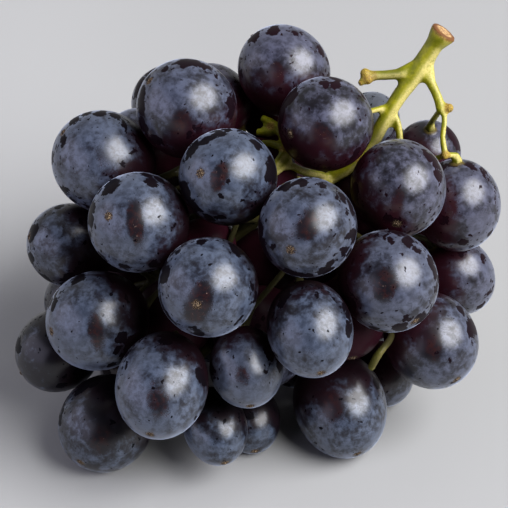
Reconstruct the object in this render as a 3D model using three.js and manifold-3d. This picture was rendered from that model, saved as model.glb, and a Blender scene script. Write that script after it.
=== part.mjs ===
// A bunch of black grapes lying on a table, in millimetres, +Z up.
// Every berry is a solid of its own. The green stem is one solid: the cut stalk, the main axis
// inside the bunch, its side branches and one short stalk up to each berry.
// The origin is on the table, under the middle of the bunch's box.

import * as THREE from "three";
import { mergeVertices } from "three/addons/utils/BufferGeometryUtils.js";
import Module from "manifold-3d";

const wasm = await Module();
wasm.setup();

// Driving dimensions
const GAP = 0.3; // clear space between neighbouring pieces
const FLAT_DEPTH = 0.5; // how far a berry that rests on the table is pressed flat
const HIDDEN_WIDE = 21.2; // usual berry of the far side, across
const HIDDEN_LONG = 22.8; // the same from stem end to tip
const HIDDEN_BERRIES = 17; // berries on the far side
const INNER_BERRIES = 9; // smaller berries round the main axis
const INNER_WIDE = 17.5;
const INNER_LONG = 18.8;
const CUT_RADIUS = 2.4; // flared cut end of the stalk
const STALK_RADIUS = 1.95;
const AXIS_RADIUS = 1.5; // main axis where it enters the bunch
const AXIS_TIP_RADIUS = 0.9; // main axis at its far end
const BRANCH_RADIUS = 0.95;
const TWIG_RADIUS = 0.5; // thinnest bare twigs
const KNOB_RADIUS = 1.0; // scar left by a lost berry
const PEDICEL_RADIUS = 0.6; // short stalk of one berry
const PEDICEL_FLARE = 1.35; // its swollen end against the berry
const BRANCHES = 13; // side branches that carry the berries
const SEED = 7;
const HIDDEN_PHASE = 2.2; // turn of the far berries' spiral
const HIDDEN_SPREAD = 0.95; // size of their dome against that of the berries in view
const INNER_PHASE = 3; // the same two for the inner berries
const INNER_SPREAD = 0.45;
const INNER_LEVEL = 0.9; // how near the eye the first inner berry lies on its dome, -1 to 1
const SMALLEST = 0.92; // share of the usual size that the smallest unseen berry has
const SIZE_RANGE = 0.16; // from it up to the largest

// Fineness of the round forms
const BERRY_DETAIL = 2;
const KNOB_DETAIL = 1;
const AXIS_SIDES = 11;
const BRANCH_SIDES = 7;
const TWIG_SIDES = 6;
const PEDICEL_SIDES = 5;
const PEDICEL_STEPS = 5;
const STEM_TOLERANCE = 0.09; // detail of the stem finer than this is dropped

// The photograph's view. Places seen in it are given by its pixels.
const VIEW = {
  elevation: THREE.MathUtils.degToRad(35),
  distance: 560, // from the eye to the middle of the bunch
  mmPerPixel: 0.235, // at the middle of the bunch
  middlePixel: 254,
  aimHeight: 38, // of the middle of the bunch over the table
};
const RIGHT = new THREE.Vector3(1, 0, 0);
const UP = new THREE.Vector3(0, Math.sin(VIEW.elevation), Math.cos(VIEW.elevation));
const NEAR = new THREE.Vector3(0, -Math.cos(VIEW.elevation), Math.sin(VIEW.elevation));
const DOWN = new THREE.Vector3(0, 0, -1);
const AIM = new THREE.Vector3(0, 0, VIEW.aimHeight);

// The middles of the outer berries lie about on this ellipsoid, in the view's own directions.
const DOME = { across: 46, up: 41, near: 34 };

// Berries that the photograph shows: middle in pixels, diameters in millimetres, and how far one
// lies behind the dome. A berry that rests on the table takes its depth from the table. The
// tip is the pixel of the brown dot opposite the stem end, and the base the pixel of a stem end
// in view. Where a stalk starts in view, hangs gives pixels and nearness.
const SEEN_BERRIES = [
  { px: 284, py: 71, wide: 20.9, long: 22.4, behind: 0 },
  { px: 326, py: 124, wide: 21.4, long: 22.0, behind: 0, hangs: [386, 107, 8.4] },
  { px: 186, py: 110, wide: 22.6, long: 23.4, behind: 0 },
  { px: 105, py: 162, wide: 23.2, long: 24.8, behind: 0 },
  { px: 139, py: 222, wide: 22.4, long: 23.4, behind: 0 },
  { px: 228, py: 177, wide: 21.7, long: 22.8, behind: 0 },
  { px: 307, py: 227, wide: 21.7, long: 22.8, behind: 0 },
  { px: 398, py: 188, wide: 21.9, long: 23.0, behind: 0, hangs: [400, 141, 8] },
  { px: 457, py: 205, wide: 20.4, long: 22, behind: 0, hangs: [445, 155, 10], base: [455, 163] },
  { px: 427, py: 154, wide: 15.9, long: 16.6, behind: 8, hangs: [440, 110, 10], base: [428, 130] },
  { px: 208, py: 287, wide: 22.0, long: 23.0, behind: 0 },
  { px: 388, py: 281, wide: 22.2, long: 23.6, behind: 0, tip: [412, 319] },
  { px: 310, py: 329, wide: 19.0, long: 22.4, behind: -3, tip: [320, 370] },
  { px: 246, py: 367, wide: 16.6, long: 18.8, behind: 4, tip: [250, 404] },
  { px: 162, py: 385, wide: 20.8, long: 25.0, behind: 0, tip: [152, 430] },
  { px: 98, py: 321, wide: 22.8, long: 24.0, behind: 0, tip: [55, 331] },
  { px: 72, py: 245, wide: 19.6, long: 21.0, behind: 6 },
  { px: 58, py: 350, wide: 19.4, long: 20.4, behind: 0 },
  { px: 106, py: 423, wide: 21.8, long: 23.6, behind: 0, tip: [82, 460], rests: true },
  { px: 340, py: 404, wide: 21.6, long: 26.2, behind: 0, tip: [357, 452], rests: true },
  { px: 431, py: 340, wide: 21.4, long: 23.6, behind: 0, tip: [455, 378] },
  { px: 457, py: 275, wide: 17.4, long: 20.2, behind: 14 },
  { px: 382, py: 374, wide: 15.4, long: 16.2, behind: 20, rests: true },
  { px: 215, py: 426, wide: 14.8, long: 18.8, behind: 0, tip: [225, 461] },
  { px: 250, py: 418, wide: 14.0, long: 17.2, behind: 14, tip: [255, 450], rests: true },
  { px: 211, py: 104, wide: 19.2, long: 19.6, behind: 22 },
  { px: 371, py: 121, wide: 13.8, long: 14.4, behind: 14 },
  { px: 171, py: 105, wide: 19.2, long: 20.0, behind: 26 },
  { px: 82, py: 300, wide: 17.4, long: 18.4, behind: 22 },
  { px: 381, py: 160, wide: 18.6, long: 19.4, behind: 38 },
];

// Stem parts in the open: pixels, how near the eye, and radius in millimetres.
const MAIN_AXIS = [
  { px: 444, py: 32, near: 13.8, radius: CUT_RADIUS },
  { px: 440, py: 37, near: 13.2, radius: STALK_RADIUS * 1.1 },
  { px: 434, py: 45, near: 12.3, radius: STALK_RADIUS },
  { px: 427, py: 56, near: 11, radius: STALK_RADIUS },
  { px: 418, py: 70, near: 10, radius: STALK_RADIUS * 1.12 },
  { px: 409, py: 83, near: 9.4, radius: STALK_RADIUS * 0.92 },
  { px: 400, py: 95, near: 9, radius: AXIS_RADIUS * 1.1 },
  { px: 391, py: 109, near: 8.5, radius: AXIS_RADIUS * 1.05 },
  { px: 383, py: 123, near: 8, radius: AXIS_RADIUS },
  { px: 373, py: 141, near: 7, radius: AXIS_RADIUS },
  { px: 361, py: 155, near: 6, radius: AXIS_RADIUS },
  { px: 343, py: 171, near: 4, radius: AXIS_RADIUS },
  { px: 300, py: 193, near: 1, radius: AXIS_RADIUS * 0.95 },
  { px: 250, py: 225, near: -1, radius: AXIS_RADIUS * 0.85 },
  { px: 200, py: 262, near: -3, radius: AXIS_RADIUS * 0.75 },
  { px: 150, py: 292, near: -5, radius: AXIS_TIP_RADIUS },
];
const FIRST_INNER_POINT = 10; // main axis points from here on lie among the berries
const LEFT_BRANCH = [
  { px: 413, py: 76, near: 9.8, radius: BRANCH_RADIUS * 1.5 },
  { px: 401, py: 74, near: 10.3, radius: BRANCH_RADIUS * 1.25 },
  { px: 388, py: 75, near: 10.9, radius: BRANCH_RADIUS * 1.05 },
  { px: 376, py: 75.5, near: 11.4, radius: BRANCH_RADIUS * 1.05 },
  { px: 372, py: 76, near: 11.6, radius: BRANCH_RADIUS * 1.3 },
  { px: 367, py: 76.5, near: 11.8, radius: BRANCH_RADIUS * 0.9 },
];
const LEFT_STUB = [
  { px: 367, py: 79, near: 11.8, radius: TWIG_RADIUS * 1.3 },
  { px: 364, py: 81, near: 12, radius: TWIG_RADIUS * 1.3 },
  { px: 359.5, py: 83.5, near: 12.3, radius: TWIG_RADIUS * 1.3 },
];
const SMALL_BRANCH = [
  { px: 389, py: 110, near: 8.4, radius: BRANCH_RADIUS * 0.9 },
  { px: 396, py: 119, near: 8.2, radius: BRANCH_RADIUS * 0.85 },
  { px: 399, py: 131, near: 8, radius: BRANCH_RADIUS * 0.75 },
  { px: 400, py: 142, near: 8, radius: BRANCH_RADIUS * 0.75 },
];
const RIGHT_BRANCH = [
  { px: 420, py: 70, near: 10.2, radius: BRANCH_RADIUS * 1.6 },
  { px: 428, py: 78, near: 10.2, radius: BRANCH_RADIUS * 1.25 },
  { px: 434, py: 89, near: 10.2, radius: BRANCH_RADIUS },
  { px: 438, py: 98, near: 10.2, radius: BRANCH_RADIUS },
  { px: 441, py: 108, near: 10.2, radius: BRANCH_RADIUS * 1.15 },
];
const RIGHT_STUB = [
  { px: 441, py: 107, near: 10.2, radius: TWIG_RADIUS * 1.3 },
  { px: 445, py: 107, near: 10.3, radius: TWIG_RADIUS * 1.2 },
  { px: 449, py: 108, near: 10.4, radius: TWIG_RADIUS * 1.2 },
];
const LONG_TWIG = [
  { px: 441, py: 108, near: 10.2, radius: TWIG_RADIUS * 1.5 },
  { px: 444, py: 115, near: 10.3, radius: TWIG_RADIUS },
  { px: 444, py: 126, near: 10.4, radius: TWIG_RADIUS },
  { px: 442.5, py: 137, near: 10.4, radius: TWIG_RADIUS },
  { px: 444, py: 148, near: 10.4, radius: TWIG_RADIUS * 1.2 },
  { px: 445, py: 155, near: 10.2, radius: TWIG_RADIUS * 1.4 },
];
const LOW_TWIG = [
  { px: 445, py: 155, near: 10.2, radius: TWIG_RADIUS * 1.2 },
  { px: 441, py: 157, near: 9, radius: TWIG_RADIUS },
  { px: 434, py: 158.5, near: 7.5, radius: TWIG_RADIUS },
];
const KNOBS = [
  { px: 365.3, py: 73.4, near: 12, radius: KNOB_RADIUS * 1.08 },
  { px: 367.7, py: 79.3, near: 12.3, radius: KNOB_RADIUS * 1.08 },
  { px: 449, py: 108, near: 10.4, radius: KNOB_RADIUS * 0.95 },
  { px: 441, py: 108.5, near: 10.2, radius: KNOB_RADIUS * 1.1 },
  { px: 445, py: 155.5, near: 10.2, radius: KNOB_RADIUS * 0.8 },
];

// A place in the part's own directions, from a pixel and a distance towards the eye.
function fromView(px, py, near) {
  const scale = (VIEW.mmPerPixel * (VIEW.distance - near)) / VIEW.distance;
  return AIM.clone()
    .addScaledVector(RIGHT, (px - VIEW.middlePixel) * scale)
    .addScaledVector(UP, (VIEW.middlePixel - py) * scale)
    .addScaledVector(NEAR, near);
}

// A repeatable random number from 0 to 1, by a linear congruence.
const FACTOR = 16807;
const MODULUS = 2147483647;
let randomState = SEED;
function random() {
  randomState = (randomState * FACTOR) % MODULUS;
  return randomState / MODULUS;
}

// How far the dome stands towards the eye over a pixel.
function domeNear(px, py) {
  const x = ((px - VIEW.middlePixel) * VIEW.mmPerPixel) / DOME.across;
  const y = ((VIEW.middlePixel - py) * VIEW.mmPerPixel) / DOME.up;
  return DOME.near * Math.sqrt(Math.max(0, 1 - x * x - y * y));
}

// The main axis as points with radii: in the open, and among the berries.
const openAxis = MAIN_AXIS.map(({ px, py, near, radius }) => ({
  point: fromView(px, py, near),
  radius,
}));
const INNER_STEPS = 24;
const innerAxisPoints = new THREE.CatmullRomCurve3(
  openAxis.slice(FIRST_INNER_POINT).map(({ point }) => point),
).getSpacedPoints(INNER_STEPS);
const keepClear = [
  ...openAxis.slice(0, FIRST_INNER_POINT),
  ...innerAxisPoints.map((point) => ({ point, radius: AXIS_RADIUS })),
];

// Where on the main axis a berry hangs from: its nearest point, moved some steps up the stalk.
const UPSTREAM_STEPS = 4;
function axisIndexOf(centre) {
  let nearest = 0;
  innerAxisPoints.forEach((point, i) => {
    if (point.distanceTo(centre) < innerAxisPoints[nearest].distanceTo(centre)) nearest = i;
  });
  return Math.max(0, nearest - UPSTREAM_STEPS);
}

// How far an ellipsoid berry reaches from its middle along a unit direction.
function reach(berry, direction) {
  const along = direction.dot(berry.axis);
  const across = Math.sqrt(Math.max(0, 1 - along * along));
  return Math.hypot((berry.long / 2) * along, (berry.wide / 2) * across);
}

function placeOnSightLine(berry) {
  berry.centre = fromView(berry.px, berry.py, berry.near).add(berry.slip);
}

function seenBerry(entry) {
  const berry = { ...entry, seen: true, slip: new THREE.Vector3(), axis: NEAR.clone() };
  berry.near = domeNear(berry.px, berry.py) - berry.behind;
  berry.home = berry.near;
  placeOnSightLine(berry);
  return berry;
}

// Points spread evenly over a ball by the golden angle, from its far pole to some nearer level.
function spread(count, nearest, phase) {
  const golden = Math.PI * (3 - Math.sqrt(5));
  return Array.from({ length: count }, (_, i) => {
    const level = THREE.MathUtils.lerp(nearest, -1, (i + 0.5) / count);
    const ring = Math.sqrt(1 - level * level);
    return { x: ring * Math.cos(i * golden + phase), y: ring * Math.sin(i * golden + phase), level };
  });
}

// Berries that the photograph doesn't show, on a smaller dome.
function unseenBerries(count, nearest, phase, shrink, wide, long) {
  return spread(count, nearest, phase).map(({ x, y, level }) => {
    const size = SMALLEST + SIZE_RANGE * random();
    const centre = AIM.clone()
      .addScaledVector(RIGHT, shrink * DOME.across * x)
      .addScaledVector(UP, shrink * DOME.up * y)
      .addScaledVector(NEAR, shrink * DOME.near * level);
    centre.z = Math.max(centre.z, (wide * size) / 2);
    return {
      seen: false,
      wide: wide * size,
      long: long * size,
      centre,
      home: centre.clone(),
      axis: NEAR.clone(),
    };
  });
}

const berries = [
  ...SEEN_BERRIES.map(seenBerry),
  ...unseenBerries(HIDDEN_BERRIES, 0, HIDDEN_PHASE, HIDDEN_SPREAD, HIDDEN_WIDE, HIDDEN_LONG),
  ...unseenBerries(INNER_BERRIES, INNER_LEVEL, INNER_PHASE, INNER_SPREAD, INNER_WIDE, INNER_LONG),
];

// A berry points away from where it hangs, or as its mark in the photograph tells.
const LEAST_TOWARDS = 0.2; // a mark in view points at least this much to the eye
function aimBerry(berry) {
  const mark = berry.tip ?? berry.base;
  if (mark) {
    const half = (0.5 * berry.long) / VIEW.mmPerPixel;
    const x = (mark[0] - berry.px) / half;
    const y = (berry.py - mark[1]) / half;
    const towards = Math.sqrt(Math.max(LEAST_TOWARDS ** 2, 1 - x * x - y * y));
    berry.axis = new THREE.Vector3()
      .addScaledVector(RIGHT, x)
      .addScaledVector(UP, y)
      .addScaledVector(NEAR, towards)
      .normalize();
    if (berry.base) berry.axis.negate();
    return;
  }
  const hub = berry.hangs
    ? fromView(...berry.hangs)
    : innerAxisPoints[axisIndexOf(berry.centre)];
  berry.axis = berry.centre.clone().sub(hub).normalize();
}

// Moves a berry by a push. One that the photograph shows slides along its line of sight, and
// leaves it by no more than a little.
const MOST_SLIP = 0.45;
const SLIP_RATE = 0.15; // share of a sideways push that it takes
const LEAST_ALONG = 0.3; // a push counts as at least this much along the sight line
function move(berry, push) {
  if (!berry.seen) {
    berry.centre.add(push);
    return;
  }
  const along = push.dot(NEAR);
  const share = Math.max(LEAST_ALONG, Math.abs(along) / Math.max(push.length(), 1e-9));
  berry.near += along / share;
  berry.slip.addScaledVector(push.clone().addScaledVector(NEAR, -along), SLIP_RATE);
  berry.slip.clampLength(0, MOST_SLIP);
  placeOnSightLine(berry);
}

function layOnTable(berry) {
  const lift = reach(berry, DOWN) - FLAT_DEPTH - berry.centre.z;
  if (lift <= 0 && !berry.rests) return;
  if (!berry.seen) {
    berry.centre.z += lift;
    return;
  }
  berry.near += lift / NEAR.z;
  placeOnSightLine(berry);
}

const SLACK = 0.05; // kept over the gap, for what the last rounds leave undone
const SEEN_SHARE = 0.3; // of a push that a berry in view takes from an unseen one
function pushApart(a, b) {
  const line = b.centre.clone().sub(a.centre);
  const distance = line.length();
  line.normalize();
  const overlap = reach(a, line) + reach(b, line) + GAP + SLACK - distance;
  if (overlap <= 0) return;
  const share = a.seen === b.seen ? 0.5 : a.seen ? SEEN_SHARE : 1 - SEEN_SHARE;
  move(a, line.clone().multiplyScalar(-overlap * share));
  move(b, line.clone().multiplyScalar(overlap * (1 - share)));
}

function pushOffAxis(berry) {
  for (const { point, radius } of keepClear) {
    const line = berry.centre.clone().sub(point);
    const distance = line.length();
    line.normalize();
    const overlap = reach(berry, line) + radius + 2 * GAP - distance;
    if (overlap > 0) move(berry, line.multiplyScalar(overlap));
  }
}

// How far the outline of the berries in view stands from its middle, in a direction of the view.
function outlineAt(angle) {
  let farthest = 0;
  for (const berry of berries) {
    if (!berry.seen) continue;
    const x = berry.centre.dot(RIGHT);
    const y = berry.centre.clone().sub(AIM).dot(UP);
    const along = x * Math.cos(angle) + y * Math.sin(angle);
    const aside = y * Math.cos(angle) - x * Math.sin(angle);
    const radius = berry.wide / 2;
    if (Math.abs(aside) < radius) {
      farthest = Math.max(farthest, along + Math.sqrt(radius * radius - aside * aside));
    }
  }
  return farthest;
}
const OUTLINE_STEPS = 72;
let outline = [];
function measureOutline() {
  outline = Array.from({ length: OUTLINE_STEPS }, (_, i) =>
    outlineAt((2 * Math.PI * i) / OUTLINE_STEPS),
  );
}

// Draws a berry of the far side in behind that outline.
const RIM_STEPS = 12;
function keepBehind(berry) {
  const x = berry.centre.dot(RIGHT);
  const y = berry.centre.clone().sub(AIM).dot(UP);
  let most = 0;
  for (let i = 0; i < RIM_STEPS; i++) {
    const turn = (2 * Math.PI * i) / RIM_STEPS;
    const rimX = x + (berry.wide / 2) * Math.cos(turn);
    const rimY = y + (berry.wide / 2) * Math.sin(turn);
    const angle = (Math.atan2(rimY, rimX) + 2 * Math.PI) % (2 * Math.PI);
    const step = Math.round((angle / (2 * Math.PI)) * OUTLINE_STEPS) % OUTLINE_STEPS;
    most = Math.max(most, Math.hypot(rimX, rimY) - outline[step]);
  }
  if (most <= 0) return;
  const inward = new THREE.Vector3().addScaledVector(RIGHT, -x).addScaledVector(UP, -y);
  berry.centre.add(inward.setLength(0.5 * most));
}

// Lets all berries find their places: drawn home, and pushed off each other, off the main axis
// and up from the table, until no two touch.
const ROUNDS = 800;
const AIM_EVERY = 40;
const FIRST_PULL = 0.03;
const SLIP_KEPT = 0.97;
function settle() {
  const hidden = berries.filter((berry) => !berry.seen);
  for (let round = 0; round < ROUNDS; round++) {
    if (round % AIM_EVERY === 0) {
      berries.forEach(aimBerry);
      measureOutline();
    }
    const pull = FIRST_PULL * (1 - round / ROUNDS);
    for (const berry of berries) {
      if (berry.seen) {
        berry.near += (berry.home - berry.near) * pull;
        berry.slip.multiplyScalar(SLIP_KEPT);
        placeOnSightLine(berry);
      } else {
        berry.centre.lerp(berry.home, pull);
      }
    }
    hidden.forEach(keepBehind);
    for (let i = 0; i < berries.length; i++) {
      for (let j = i + 1; j < berries.length; j++) pushApart(berries[i], berries[j]);
    }
    berries.forEach(pushOffAxis);
    berries.forEach(layOnTable);
  }
}
settle();

// Closed solids

function toManifold(geometry) {
  const bare = new THREE.BufferGeometry();
  bare.setAttribute("position", geometry.getAttribute("position"));
  if (geometry.index) bare.setIndex(geometry.index);
  const merged = mergeVertices(bare, 1e-4);
  return new wasm.Manifold(
    new wasm.Mesh({
      numProp: 3,
      vertProperties: new Float32Array(merged.getAttribute("position").array),
      triVerts: new Uint32Array(merged.index.array),
    }),
  );
}

function toGeometry(solid) {
  const mesh = solid.getMesh();
  const geometry = new THREE.BufferGeometry();
  const positions = new Float32Array(mesh.numVert * 3);
  for (let i = 0; i < mesh.numVert; i++) {
    for (let k = 0; k < 3; k++) {
      positions[3 * i + k] = mesh.vertProperties[mesh.numProp * i + k];
    }
  }
  geometry.setAttribute("position", new THREE.BufferAttribute(positions, 3));
  geometry.setIndex(Array.from(mesh.triVerts));
  geometry.computeVertexNormals();
  return geometry;
}

// A berry, grown by some amount all round.
function ellipsoid(berry, grow) {
  const geometry = new THREE.IcosahedronGeometry(1, BERRY_DETAIL);
  const across = berry.wide / 2 + grow;
  geometry.scale(across, berry.long / 2 + grow, across);
  const turn = new THREE.Quaternion();
  turn.setFromUnitVectors(new THREE.Vector3(0, 1, 0), berry.axis);
  geometry.applyQuaternion(turn);
  geometry.translate(berry.centre.x, berry.centre.y, berry.centre.z);
  return toManifold(geometry);
}

function knob({ px, py, near, radius }) {
  const geometry = new THREE.IcosahedronGeometry(radius, KNOB_DETAIL);
  const centre = fromView(px, py, near);
  geometry.translate(centre.x, centre.y, centre.z);
  return toManifold(geometry);
}

// A closed round limb along a smooth curve through points that have a radius each.
function limb(stations, sides, steps) {
  const curve = new THREE.CatmullRomCurve3(
    stations.map(({ point }) => point),
    false,
    "centripetal",
  );
  const frames = curve.computeFrenetFrames(steps, false);
  const positions = [];
  const faces = [];
  for (let i = 0; i <= steps; i++) {
    const centre = curve.getPointAt(i / steps);
    const place = curve.getUtoTmapping(i / steps) * (stations.length - 1);
    const from = Math.min(stations.length - 2, Math.floor(place));
    const radius = THREE.MathUtils.lerp(
      stations[from].radius,
      stations[from + 1].radius,
      place - from,
    );
    for (let k = 0; k < sides; k++) {
      const turn = (2 * Math.PI * k) / sides;
      const rim = centre
        .clone()
        .addScaledVector(frames.normals[i], radius * Math.cos(turn))
        .addScaledVector(frames.binormals[i], radius * Math.sin(turn));
      positions.push(...rim.toArray());
    }
  }
  for (let i = 0; i < steps; i++) {
    for (let k = 0; k < sides; k++) {
      const a = i * sides + k;
      const b = i * sides + ((k + 1) % sides);
      faces.push(a, b, a + sides, b, b + sides, a + sides);
    }
  }
  for (let k = 1; k < sides - 1; k++) {
    const last = steps * sides;
    faces.push(0, k + 1, k, last, last + k, last + k + 1);
  }
  const geometry = new THREE.BufferGeometry();
  geometry.setAttribute("position", new THREE.Float32BufferAttribute(positions, 3));
  geometry.setIndex(faces);
  return toManifold(geometry);
}

const placed = (stations) =>
  stations.map(({ px, py, near, radius }) => ({ point: fromView(px, py, near), radius }));

// Pushes a point out of all berries, with some room for the limb round it.
function pushOffBerries(point, room) {
  for (const berry of berries) {
    const line = point.clone().sub(berry.centre);
    const distance = line.length();
    line.normalize();
    const overlap = reach(berry, line) + room - distance;
    if (overlap > 0) point.addScaledVector(line, overlap);
  }
}

// A way between two points that bends round the berries in between.
const ROUTE_POINTS = 7;
const ROUTE_ROUNDS = 150;
const STRAIGHTENING = 0.4; // how far a point goes to the middle of its neighbours each round
function route(start, end, room) {
  const points = Array.from({ length: ROUTE_POINTS }, (_, i) =>
    start.clone().lerp(end, i / (ROUTE_POINTS - 1)),
  );
  for (let round = 0; round < ROUTE_ROUNDS; round++) {
    for (let i = 1; i < ROUTE_POINTS - 1; i++) {
      const middle = points[i - 1].clone().add(points[i + 1]).multiplyScalar(0.5);
      points[i].lerp(middle, STRAIGHTENING);
      pushOffBerries(points[i], room);
    }
  }
  return points;
}

// Side branches: the berries fall into groups, and each group has one hub to hang from.
const GROUP_ROUNDS = 12;
function groupBerries(members, count) {
  const hubs = [members[0].centre.clone()];
  const nearestHub = (berry) => {
    const far = hubs.map((hub) => hub.distanceTo(berry.centre));
    return far.indexOf(Math.min(...far));
  };
  while (hubs.length < count) {
    let farthest = members[0];
    let most = -1;
    for (const berry of members) {
      const distance = berry.centre.distanceTo(hubs[nearestHub(berry)]);
      if (distance > most) {
        most = distance;
        farthest = berry;
      }
    }
    hubs.push(farthest.centre.clone());
  }
  let groups = [];
  for (let round = 0; round < GROUP_ROUNDS; round++) {
    groups = hubs.map(() => []);
    members.forEach((berry) => groups[nearestHub(berry)].push(berry));
    groups.forEach((group, i) => {
      if (group.length === 0) return;
      hubs[i].set(0, 0, 0);
      group.forEach((berry) => hubs[i].addScaledVector(berry.centre, 1 / group.length));
    });
  }
  return groups.filter((group) => group.length > 0);
}

const stemEnd = (berry) => berry.centre.clone().addScaledVector(berry.axis, -berry.long / 2);

// The short stalk of a berry, from a start point to a little way into the berry's stem end.
const STALK_RUN = 1.7; // length of its straight end
const NECK_RUN = 0.9; // length over which it swells
const SUNK = 0.3; // depth in the berry, which is cut off again
function pedicel(start, berry) {
  const end = stemEnd(berry);
  const turnIn = end.clone().addScaledVector(berry.axis, -STALK_RUN);
  pushOffBerries(turnIn, PEDICEL_RADIUS + GAP);
  const way = route(start, turnIn, PEDICEL_RADIUS + 1.5 * GAP);
  const stations = way.map((point) => ({ point, radius: PEDICEL_RADIUS }));
  const neck = end.clone().addScaledVector(berry.axis, -NECK_RUN);
  stations.push({ point: neck, radius: PEDICEL_FLARE * 0.8 });
  stations.push({ point: end.addScaledVector(berry.axis, SUNK), radius: PEDICEL_FLARE });
  return limb(stations, PEDICEL_SIDES, PEDICEL_STEPS);
}

const BRANCH_SHARE = 0.6; // part of the way to its berries that a side branch goes
const HUB_ROUNDS = 60;
function makeStem() {
  const limbs = [
    limb(placed(MAIN_AXIS), AXIS_SIDES, 26),
    limb(placed(LEFT_BRANCH), BRANCH_SIDES, 10),
    limb(placed(LEFT_STUB), TWIG_SIDES, 3),
    limb(placed(SMALL_BRANCH), TWIG_SIDES, 5),
    limb(placed(RIGHT_BRANCH), BRANCH_SIDES, 6),
    limb(placed(RIGHT_STUB), TWIG_SIDES, 2),
    limb(placed(LONG_TWIG), TWIG_SIDES, 8),
    limb(placed(LOW_TWIG), TWIG_SIDES, 3),
    ...KNOBS.map(knob),
  ];
  for (const berry of berries.filter(({ hangs }) => hangs)) {
    limbs.push(pedicel(fromView(...berry.hangs), berry));
  }
  const grouped = groupBerries(berries.filter(({ hangs }) => !hangs), BRANCHES);
  for (const group of grouped) {
    const middle = new THREE.Vector3();
    group.forEach((berry) => middle.addScaledVector(stemEnd(berry), 1 / group.length));
    const start = innerAxisPoints[axisIndexOf(middle)];
    const hub = start.clone().lerp(middle, BRANCH_SHARE);
    for (let i = 0; i < HUB_ROUNDS; i++) pushOffBerries(hub, BRANCH_RADIUS + 2 * GAP);
    const way = route(start, hub, BRANCH_RADIUS + 1.5 * GAP);
    limbs.push(
      limb(way.map((point) => ({ point, radius: BRANCH_RADIUS })), BRANCH_SIDES, 7),
    );
    group.forEach((berry) => limbs.push(pedicel(hub, berry)));
  }
  let stem = wasm.Manifold.union(limbs);
  for (const berry of berries) stem = stem.subtract(ellipsoid(berry, GAP));
  const bodies = stem.simplify(STEM_TOLERANCE).decompose();
  return bodies.sort((a, b) => b.volume() - a.volume())[0];
}

function makeBerry(berry) {
  const solid = ellipsoid(berry, 0);
  if (berry.centre.z - reach(berry, DOWN) > 0) return solid;
  const table = new THREE.BoxGeometry(2 * berry.long, 2 * berry.long, berry.long);
  table.translate(berry.centre.x, berry.centre.y, -berry.long / 2);
  return solid.subtract(toManifold(table));
}

const group = new THREE.Group();

function addPiece(name, solid, { color, roughness }) {
  const material = new THREE.MeshStandardMaterial({ color, roughness, metalness: 0 });
  const mesh = new THREE.Mesh(toGeometry(solid), material);
  mesh.name = name;
  group.add(mesh);
}

berries.forEach((berry, i) => {
  const name = "berry_" + String(i + 1).padStart(2, "0");
  addPiece(name, makeBerry(berry), { color: 0x2a2a38, roughness: 0.45 });
});
addPiece("stem", makeStem(), { color: 0x9a9b2e, roughness: 0.55 });

// Bring the middle of the box over the origin.
const middle = new THREE.Box3().setFromObject(group).getCenter(new THREE.Vector3());
group.children.forEach(({ geometry }) => geometry.translate(-middle.x, -middle.y, 0));

export default group;
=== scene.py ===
import math
import random

import bmesh
import bpy
import numpy as np
from mathutils import Matrix, Vector


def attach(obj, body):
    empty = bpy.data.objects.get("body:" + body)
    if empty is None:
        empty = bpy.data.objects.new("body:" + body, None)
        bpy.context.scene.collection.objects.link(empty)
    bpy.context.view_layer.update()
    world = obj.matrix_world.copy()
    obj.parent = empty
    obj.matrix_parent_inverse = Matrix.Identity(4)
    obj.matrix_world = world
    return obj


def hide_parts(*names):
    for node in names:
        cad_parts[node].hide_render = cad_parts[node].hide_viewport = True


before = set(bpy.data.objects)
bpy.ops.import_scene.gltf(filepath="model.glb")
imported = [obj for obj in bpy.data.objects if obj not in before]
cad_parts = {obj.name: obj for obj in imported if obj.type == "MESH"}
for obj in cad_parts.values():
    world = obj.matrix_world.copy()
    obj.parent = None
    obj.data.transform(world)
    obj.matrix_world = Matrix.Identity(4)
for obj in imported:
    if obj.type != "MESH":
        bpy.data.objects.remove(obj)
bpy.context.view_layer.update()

MM = 0.001


def color(red, green, blue):
    return (red, green, blue, 1.0)


# The camera: it looks down on the bunch from the front, as in the photograph.
IMAGE = 508  # pixels
ELEVATION = math.radians(35)
DISTANCE = 560 * MM
PIXEL = 0.235 * MM  # one pixel at the middle of the bunch
AIM = Vector((-0.92, -2.06, 38.0)) * MM
RIGHT = Vector((1, 0, 0))
UP = Vector((0, math.sin(ELEVATION), math.cos(ELEVATION)))
NEAR = Vector((0, -math.cos(ELEVATION), math.sin(ELEVATION)))

# Lights, by where they stand in the camera's own directions (right, up, near)
KEY = {"shape": "ELLIPSE", "towards": (0.66, 0.39, 0.64), "distance": 2.2, "size": (2.6, 1.92),
       "radiance": 10.0, "tint": (0.99, 0.99, 1.025)}
PANEL = {"shape": "RECTANGLE", "towards": (-0.9, -0.02, 0.42), "distance": 0.9, "size": (1.4, 1.0),
         "radiance": 1.3, "tint": (0.88, 0.86, 1.14)}
BACK_LIGHT = 0.4  # pale room behind the bunch
FRONT_LIGHT = 0.03  # darker room round the camera
ROOM_CHANGE = (-0.5, 0.5)  # from front to back, where the one turns into the other
ROOM_COLOR = color(0.97, 0.98, 1.0)

# Floor
FLOOR_RADIUS = 4.0
FLOOR_CORNERS = 96
FLOOR_ROUGHNESS = 0.6
# the floor's grey, and the paler grey of painted light to its left
FLOOR_PAINTED_LIGHT_COLORS = (color(0.366, 0.366, 0.360), color(0.396, 0.396, 0.390))
FLOOR_NOISE = (0.004, 3.0, 0.5)  # scale per mm, detail and roughness
FLOOR_WANDER = 10.0  # mm by which the change between the two colours wanders
# where the painted light on the left of the floor begins and where it is full
FLOOR_PAINTED_LIGHT_CHANGE = (0.0, -70.0)  # mm to the right of the middle, from the first colour to the second

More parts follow.
